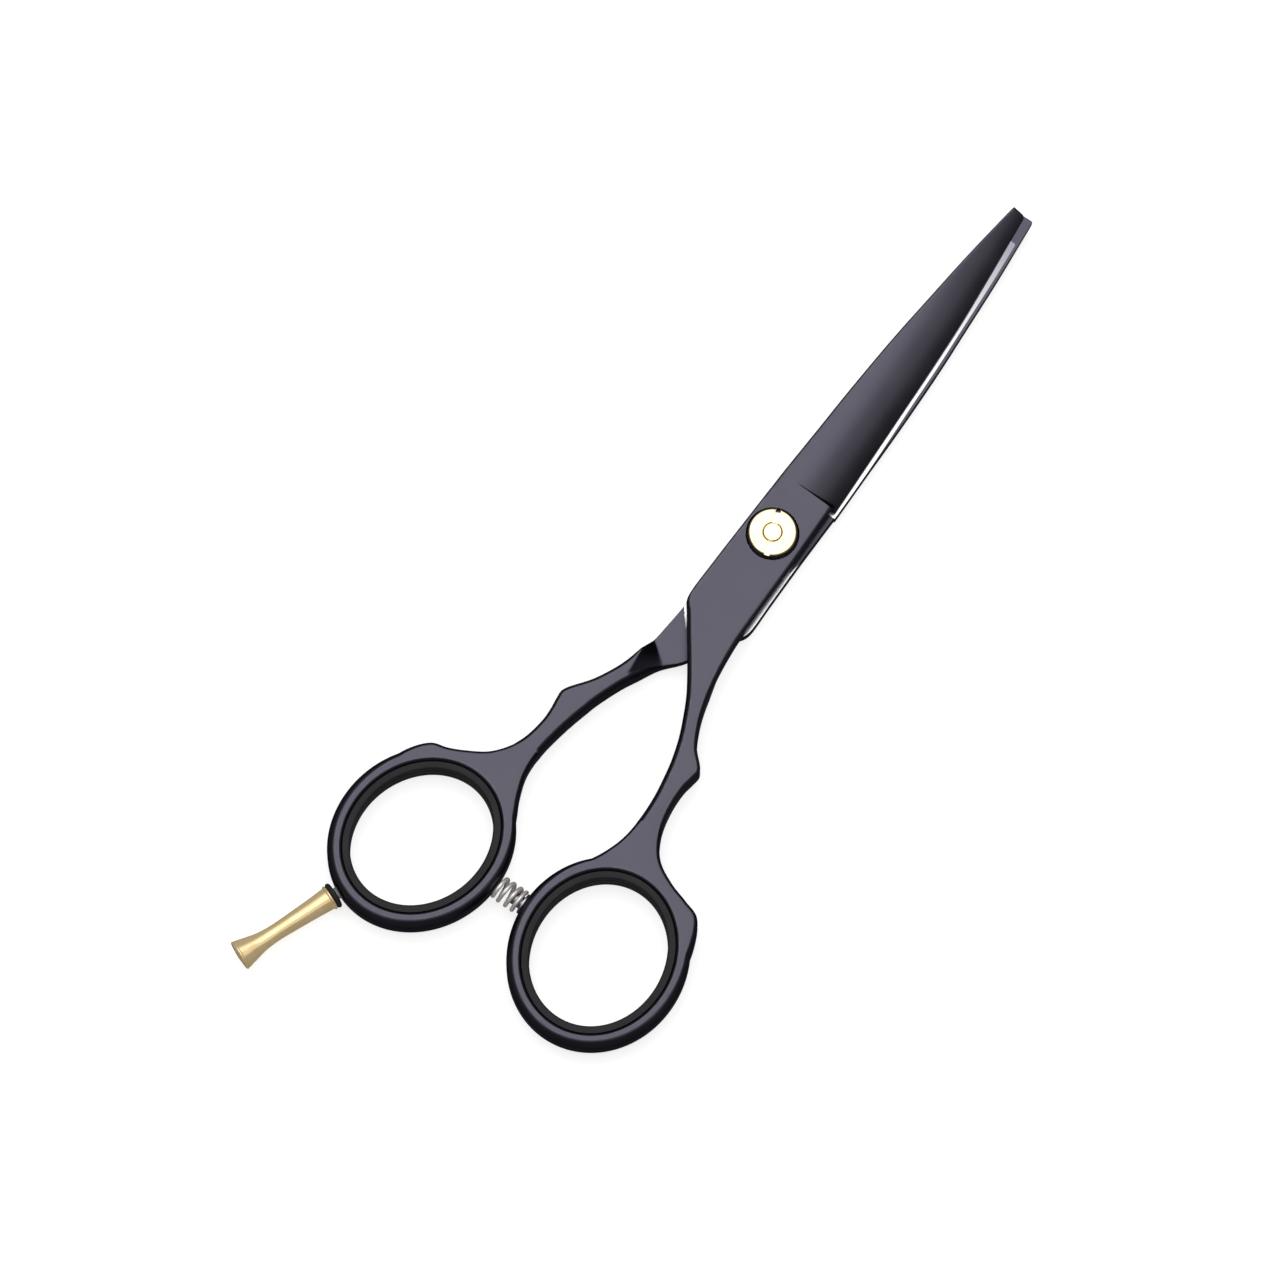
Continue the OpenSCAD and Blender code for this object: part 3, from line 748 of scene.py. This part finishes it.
def soft_finish(name, dark, light, rough, grain, strength):
    """Moulded rubber or nylon: a fine matt grain with a little colour variation."""
    material, t, shader = new_material(name, Specular_IOR_Level=0.3)
    where = t.add("ShaderNodeTexCoord", 3)
    cloud = t.group(CLOUDY, Vector=where, Size=220.0)
    fine = t.add("ShaderNodeTexNoise",
                 inputs={"Vector": where, "Scale": grain, "Detail": 4.0, "Roughness": 0.7})
    t.tree.links.new(t.mix(cloud, (*dark, 1), (*light, 1)), shader["Base Color"])
    t.tree.links.new(t.blend(fine, rough, rough + 0.18), shader["Roughness"])
    bump = t.add("ShaderNodeBump", inputs={"Height": fine, "Strength": strength, "Distance": 0.00006})
    t.tree.links.new(bump, shader["Normal"])
    return material


COAT = black_coat()
GOLD = gold_plate("polished_gold_plate", (0.97, 0.71, 0.36), (1, 0.79, 0.45), 0.5)
PALE_GOLD = gold_plate("pale_gold_plate", (0.9, 0.71, 0.4), (0.95, 0.78, 0.5), 0.95)
SPRING = steel_finish("drawn_spring_steel", (0.74, 0.7, 0.68), (0.86, 0.83, 0.81), 0.2)
RUBBER = soft_finish("moulded_black_rubber", (0.009, 0.009, 0.011), (0.016, 0.016, 0.019), 0.5, 6000.0, 0.25)
NYLON = soft_finish("moulded_nylon", (0.74, 0.73, 0.68), (0.82, 0.81, 0.77), 0.4, 4000.0, 0.1)


def finish(obj, material, body, slot, *nodes):
    """Gives a piece its material and body and hides the CAD nodes that it stands for; slot is not used."""
    obj.data.materials.clear()
    obj.data.materials.append(material)
    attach(obj, body)
    if nodes:
        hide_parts(*nodes)
    return obj


# ------------------------------------------------------------------------------------ pieces

PIVOT_SIDES = 160
# The pivot stack in millimetres, from the back up
HEAD_H, SEAT_R = 0.85, 3.22  # seat of the stud's back head
NECK_W = 3.9  # square neck, across its flats
RIDE_Z, RIDE_R = 2.5, 4  # ride washer between the halves
BORE_R = 1.94  # bore of the bushing and of the ride washer
BUSHING_R = 2.6  # hole that the bushing fills
POCKET_Z, POCKET_R = 4.9, 3.85  # pocket under the nut, for its washers
SLOT_W, SLOT_D, SLOT_TURN = 0.8, 0.3, math.radians(20)  # slot across the nut
# Holes for the bumper's post and for the finger rest's stud
BUMPER_HOLE_R = 0.81
REST_HOLE_R = 0.96


def plug(name, r, z0, z1, chamfer=0.0, corner=0.0, sides=PIVOT_SIDES):
    """A plain round cutter, opening out in a chamfer at its top, with a rounded corner at its foot."""
    rim = [(r, z1 - chamfer), (r + chamfer + 0.3, z1 + 0.3)] if chamfer else [(r, z1)]
    foot = arc((r - corner, z0 + corner), corner, -90, 0, 8) if corner else [(r, z0)]
    return turned(name, [(0, z0), *foot, *rim, (0, rim[-1][1])], sides)


def thumb_half():
    """Blade, pivot body, shank and ring of the thumb half, with the pocket under the nut, the
    bushing's hole and the hole for the bumper's post."""
    half = make("thumb_half_forging", *half_surface(THUMB))
    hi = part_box("bumper_post")[1] / MM
    place = placed((hi.x - 1.75, THUMB["ring"][1], MID_Z), (-1, 0, 0)) @ Matrix.Translation((0, 0, -0.02))
    post = turned("post_hole", [(0, 0), (BUMPER_HOLE_R, 0), (BUMPER_HOLE_R, 3), (0, 3)], 32, place)
    pocket = plug("pocket", POCKET_R, POCKET_Z, TOP_Z, 0.06, 0.4)
    cut(half, pocket, plug("bore", BUSHING_R, INNER_Z - 1, TOP_Z + 1), post)
    return finish(half, COAT, "thumb_half", "black_coat", "front_blade", "front_handle")


def finger_half():
    """Blade, pivot body, shank and ring of the finger half, with the seats of the stud's head and of
    the ride washer, the square hole, and the hole for the finger rest's stud."""
    half = make("finger_half_forging", *half_surface(FINGER))
    head = turned("head_seat", [(0, HEAD_H), (SEAT_R, HEAD_H), (SEAT_R, -0.5), (0, -0.5)], PIVOT_SIDES)
    ride = plug("ride_seat", RIDE_R + 0.02, HALF_T - 0.3, HALF_T + 0.5)
    corner = (NECK_W + 0.02) / math.sqrt(2)
    neck = turned("neck_hole", [(0, -0.5), (corner, -0.5), (corner, 3.2), (0, 3.2)], 4,
                  Matrix.Rotation(math.radians(45), 4, "Z"))
    stud = turned("stud_hole", [(0, 0), (REST_HOLE_R, 0), (REST_HOLE_R, 3), (0, 3)], 32,
                  REST @ Matrix.Translation((0, 0, -1.6)))
    cut(half, head, ride, neck, stud)
    return finish(half, COAT, "finger_half", "black_coat", "back_blade", "back_handle")


REST_ANGLE = math.radians(22)
REST_FOOT = (-21.56, -78.6, MID_Z)
REST_OUT = (-math.sin(REST_ANGLE), -math.cos(REST_ANGLE), 0)
REST = placed(REST_FOOT, REST_OUT)


def finger_insert(name, half, body, node):
    """Moulded sleeve: a closed profile (k in from the hole's line, z) carried round the oval,
    point = centre + ((a - k) cos t, (b - k) sin t). Its inside has three ribs between grooves."""
    low, high = MID_Z - INSERT_H / 2, MID_Z + INSERT_H / 2
    z = np.linspace(high - 0.35, low + 0.35, 61)
    level = (z - low) / INSERT_H
    groove = 0.3 * (np.exp(-((level - 0.3) / 0.055) ** 2) + np.exp(-((level - 0.7) / 0.055) ** 2))
    inside = [(INSERT_T - g, h) for g, h in zip(groove, z)]
    top = arc((INSERT_T - 0.35, high - 0.35), 0.35, 90, 0)
    foot = arc((INSERT_T - 0.35, low + 0.35), 0.35, 0, -90)
    profile = np.array([(0.01, low), (0.01, high), *top, *inside[1:-1], *foot])
    angle = np.linspace(0, 2 * np.pi, 240, endpoint=False)
    a, b = half["hole_r"]
    side = -1 if half["turned_over"] else 1
    u, v = (a - profile[:, :1]) * np.cos(angle), (b - profile[:, :1]) * np.sin(angle)
    c, s = math.cos(half["lean"]), math.sin(half["lean"])
    x = side * (half["ring"][0] + u * c - v * s)
    y = half["ring"][1] + u * s + v * c
    points = np.stack([x, y, np.repeat(profile[:, 1:], len(angle), 1)], -1)
    points = np.concatenate([points, points[:1]]).reshape(-1, 3)
    obj = make(name, points, grid_faces(len(profile) + 1, len(angle), wrap=True))
    return finish(obj, RUBBER, body, "black_rubber", node)


def tension_nut():
    """Round nut with a rounded rim, a slot right across its top and a round notch at one end of it."""
    lo, hi = (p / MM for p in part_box("tension_nut"))
    r, z0, z1 = hi.x, lo.z, hi.z
    bore = 1.39
    profile = [(bore, z0), (r - 0.08, z0), (r, z0 + 0.08), *arc((r - 0.28, z1 - 0.28), 0.28, 0, 90, 7),
               (bore + 0.14, z1), *arc((bore + 0.14, z1 - 0.14), 0.14, 90, 180, 4), (bore, z0)]
    nut = turned("tension_nut_turned", profile, PIVOT_SIDES)
    w = SLOT_W / 2
    outline = ((-w, -6), (w, -6), (w, 6), (-w, 6))
    slot = np.array([[x, y, z] for z in (z1 - SLOT_D, z1 + 1) for x, y in outline])
    turn = np.array(Matrix.Rotation(SLOT_TURN, 3, "Z"))
    notch = turned("notch", [(0, 0), (w, 0), (w, 9), (0, 9)], 32, Matrix.Translation(turn @ [0, 3.25, 0]))
    faces = [(0, 1, 2, 3), (4, 5, 6, 7), (0, 1, 5, 4), (1, 2, 6, 5), (2, 3, 7, 6), (3, 0, 4, 7)]
    cut(nut, make("slot", slot @ turn.T, faces), notch)
    bevel = nut.modifiers.new("soft_edges", "BEVEL")
    bevel.width, bevel.segments = 0.04 * MM, 2
    bevel.limit_method, bevel.angle_limit = "ANGLE", math.radians(40)
    settle(nut)
    nut.data.set_sharp_from_angle(angle=math.radians(32))
    return finish(nut, PALE_GOLD, "tension_nut", "polished_gold", "tension_nut")


def pivot_stud():
    """The stud: flush back head, square neck, journal, thread with its turns, and a domed end."""
    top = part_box("pivot_stud")[1].z / MM
    neck = (NECK_W - 0.02) / math.sqrt(2)
    head = [(0, 0), (3.1, 0), (3.2, 0.1), (3.2, HEAD_H - 0.01), (1.88, HEAD_H - 0.01), (1.88, 4.85),
            (1.34, 4.86)]
    thread = [(1.34 - 0.11 * (k % 2), 4.95 + 0.14 * k) for k in range(13)]
    end = [(1.3, top - 0.06), *arc((1.2, top - 0.1), 0.1, 45, 90, 3), (0.5, top), (0, top)]
    stud = turned("stud_turned", head + [p for p in thread if p[1] < top - 0.12] + end, 96)
    square = turned("stud_neck", [(0, 0.5), (neck, 0.5), (neck, 2.48), (0, 2.48)], 4,
                    Matrix.Rotation(math.radians(45), 4, "Z"))
    join = stud.modifiers.new("neck", "BOOLEAN")
    join.operation, join.solver, join.object = "UNION", "EXACT", square
    settle(stud)
    bpy.data.objects.remove(square)
    return finish(stud, PALE_GOLD, "finger_half", "polished_gold", "pivot_stud")


def flat_ring(name, z0, z1, r_in, r_out, soft=0.04):
    """A washer with softened rims."""
    profile = [(r_in, z0 + soft), (r_in, z1 - soft), (r_in + soft, z1), (r_out - soft, z1),
               (r_out, z1 - soft), (r_out, z0 + soft), (r_out - soft, z0), (r_in + soft, z0),
               (r_in, z0 + soft)]
    return turned(name, profile)


def pivot_washers():
    """The nylon bushing and washers, and the dished steel spring washer under the nut."""
    bushing = flat_ring("nylon_bushing", INNER_Z, POCKET_Z - 0.02, BORE_R, BUSHING_R - 0.01)
    finish(bushing, NYLON, "thumb_half", "white_nylon", "pivot_bushing")
    ride = flat_ring("nylon_ride_washer", RIDE_Z, HALF_T, BORE_R, RIDE_R)
    finish(ride, NYLON, "finger_half", "white_nylon", "ride_washer")
    friction = flat_ring("nylon_friction_washer", POCKET_Z, POCKET_Z + 0.24, 1.4, 3.3)
    finish(friction, NYLON, "thumb_half", "white_nylon", "friction_washer")
    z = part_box("disc_spring")[0].z / MM
    cup = [(3.3, z), (3.3, z + 0.16), (1.45, z + 0.31), (1.45, z + 0.15), (3.3, z)]
    finish(turned("disc_spring_dished", cup), SPRING, "finger_half", "spring_steel", "disc_spring")


def bumper():
    """Black threaded post with a seat flange and a domed core, and the coil round it."""
    lo, hi = (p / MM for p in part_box("bumper_post"))
    wall = THUMB["ring"][0] - oval_radius(THUMB["ring_r"], math.pi - THUMB["lean"])
    place = placed((wall, THUMB["ring"][1], MID_Z), (-1, 0, 0))
    core = wall - lo.x
    profile = [(0, -1.6), (0.72, -1.6), (0.79, -1.5), (0.79, -0.02), (1.55, -0.02), (1.62, 0.05),
               (1.62, 0.28), (1.55, 0.34), (0.97, 0.35), (0.97, core - 0.35),
               *arc((0.62, core - 0.35), 0.35, 0, 90, 6), (0, core)]
    finish(turned("bumper_seat_post", profile, 64, place), COAT, "thumb_half", "black_coat", "bumper_post")

    # Coil: a circle of the wire's radius carried along a helix whose pitch closes at both ends
    lo, hi = (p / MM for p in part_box("bumper_spring"))
    wire, turns, steps, sides = 0.325, 3.5, 260, 16
    length = hi.x - lo.x
    coil_r = (hi.y - lo.y) / 2 - wire
    t = np.linspace(0, 1, steps)
    turn = 2 * np.pi * turns * t
    out = wire + (length - 2 * wire) * (t + 0.35 * (rise(t, 0, 1) - t))
    centre = np.stack([-out, coil_r * np.cos(turn), coil_r * np.sin(turn)], -1)
    forward = np.gradient(centre, axis=0)
    forward /= np.linalg.norm(forward, axis=1, keepdims=True)
    away = np.stack([np.zeros_like(t), np.cos(turn), np.sin(turn)], -1)
    up = np.cross(forward, away)
    angle = np.linspace(0, 2 * np.pi, sides, endpoint=False)
    ends = np.array([0, 0.6, 0.9, 1])
    size = np.concatenate([ends, np.ones(steps - 8), ends[::-1]])
    ring = away[:, None] * np.cos(angle)[:, None] + up[:, None] * np.sin(angle)[:, None]
    points = centre[:, None] + ring * (wire * size)[:, None, None]
    points = points + [hi.x, (hi.y + lo.y) / 2, MID_Z]
    around = np.tile(angle * wire * 4, steps)
    coil = make("bumper_coil", points.reshape(-1, 3), grid_faces(steps, sides, wrap=True), {"along": around})
    finish(coil, SPRING, "thumb_half", "spring_steel", "bumper_spring")


def finger_rest():
    """Screw-in finger rest: turned waist, flared end, a bead at the base; its stud and O-ring."""
    side = curve([(1.66, 0.75), (1.48, 3.5), (1.32, 7), (1.25, 9.6), (1.42, 11.9), (1.92, 14.1),
                  (2.22, 15.3)], 8)
    bead = [(1.0, 0), (1.72, 0), *arc((1.72, 0.19), 0.19, -80, 80, 7), (1.68, 0.44)]
    end = [*arc((2.08, 15.55), 0.2, -60, 70, 7), (1.5, 15.8), (0.8, 15.885), (0, 15.9)]
    blind = [(0, 4), (0.97, 4), (0.97, 0.05), (1.0, 0)]
    place = REST @ Matrix.Translation((0, 0, 1.22))
    profile = blind[:-1] + bead + [tuple(p) for p in side] + end
    rest = turned("finger_rest_turned", profile, 128, place)
    finish(rest, GOLD, "finger_rest", "polished_gold", "finger_rest")
    thread = [(0.94 - 0.09 * (k % 2), -1.5 + 0.13 * k) for k in range(50)]
    finish(turned("rest_stud_threaded", [(0, -1.55), (0.8, -1.55), *thread, (0.8, 4.98), (0, 5.0)], 48, REST),
           SPRING, "finger_half", "spring_steel", "rest_stud")
    section = [(1.0, 0.5), *arc((1.32, 0.795), 0.36, 200, 90, 6), *arc((1.63, 0.795), 0.365, 90, -90, 10),
               *arc((1.32, 0.795), 0.36, 270, 160, 6)]
    section = [(1.0 if r < 1.0 else r, z) for r, z in section]
    o_ring = turned("rest_o_ring", section + [section[0]], 64, REST)
    finish(o_ring, RUBBER, "finger_half", "black_rubber", "rest_washer")


thumb_half()
finger_half()
finger_insert("thumb_insert_ribbed", THUMB, "thumb_half", "front_insert")
finger_insert("finger_insert_ribbed", FINGER, "finger_half", "back_insert")
tension_nut()
pivot_stud()
pivot_washers()
bumper()
finger_rest()

# ------------------------------------------------------------------------------ floor and light


def floor():
    """A wide table with a white glow of its own, left out of reflections."""
    mesh = bpy.data.meshes.new("floor")
    z = cad_box[0].z - 0.05 * MM
    mesh.from_pydata([(-2, -2, z), (2, -2, z), (2, 2, z), (-2, 2, z)], [], [(0, 1, 2, 3)])
    obj = bpy.data.objects.new("floor", mesh)
    bpy.context.scene.collection.objects.link(obj)
    material, _, shader = new_material("white_light_table", Roughness=0.9, Emission_Strength=0.72)
    shader["Base Color"].default_value = (0.55, 0.55, 0.55, 1)
    shader["Emission Color"].default_value = (1, 1, 1, 1)
    mesh.materials.append(material)
    obj.visible_glossy = False


def softbox(name, place, aim, size, power):
    """A soft rectangular lamp at place, turned to aim."""
    light = bpy.data.lights.new(name, "AREA")
    light.shape, light.size, light.size_y, light.energy = "RECTANGLE", size[0], size[1], power
    obj = bpy.data.objects.new(name, light)
    obj.location = place
    obj.rotation_mode = "QUATERNION"
    obj.rotation_quaternion = (Vector(aim) - Vector(place)).to_track_quat("-Z", "Y")
    obj.visible_camera = False
    bpy.context.scene.collection.objects.link(obj)


def room(strength):
    """An even white world of this strength."""
    world = bpy.data.worlds.new("studio")
    bpy.context.scene.world = world
    world.use_nodes = True
    background = world.node_tree.nodes["Background"]
    background.inputs[0].default_value = (1, 1, 1, 1)
    background.inputs[1].default_value = strength


# The view: its tilt from straight down, the side it tilts to, the point it aims at and how far off it is
TILT = math.radians(12)
TURN = (0.5708, -0.8211)
AIM = Vector((-7.1, -23.3, 2.8)) * MM
DISTANCE = 2.565


def camera():
    """A long lens that looks down on the shears, with their blades to the upper right."""
    data = bpy.data.cameras.new("camera")
    data.lens, data.sensor_width = 500, 36
    data.clip_start, data.clip_end = 0.01, 10
    obj = bpy.data.objects.new("camera", data)
    back = Vector((math.sin(TILT) * TURN[0], math.sin(TILT) * TURN[1], math.cos(TILT)))
    obj.location = AIM + back * DISTANCE
    obj.rotation_mode = "QUATERNION"
    obj.rotation_quaternion = (-back).to_track_quat("-Z", "Y")
    bpy.context.scene.collection.objects.link(obj)
    bpy.context.scene.camera = obj


floor()
camera()
RIGHT, UP = Vector((-TURN[1], TURN[0], 0)), Vector((-TURN[0], -TURN[1], 0))
softbox("overhead", AIM + UP * 0.13 - RIGHT * 0.05 + Vector((0, 0, 0.55)), AIM, (0.5, 0.5), 1.0)
softbox("tent_roof", AIM + UP * 0.1 + Vector((0, 0, 0.6)), AIM, (1.3, 1.3), 4.0)
room(0.12)
bpy.context.scene.view_settings.view_transform = "Standard"
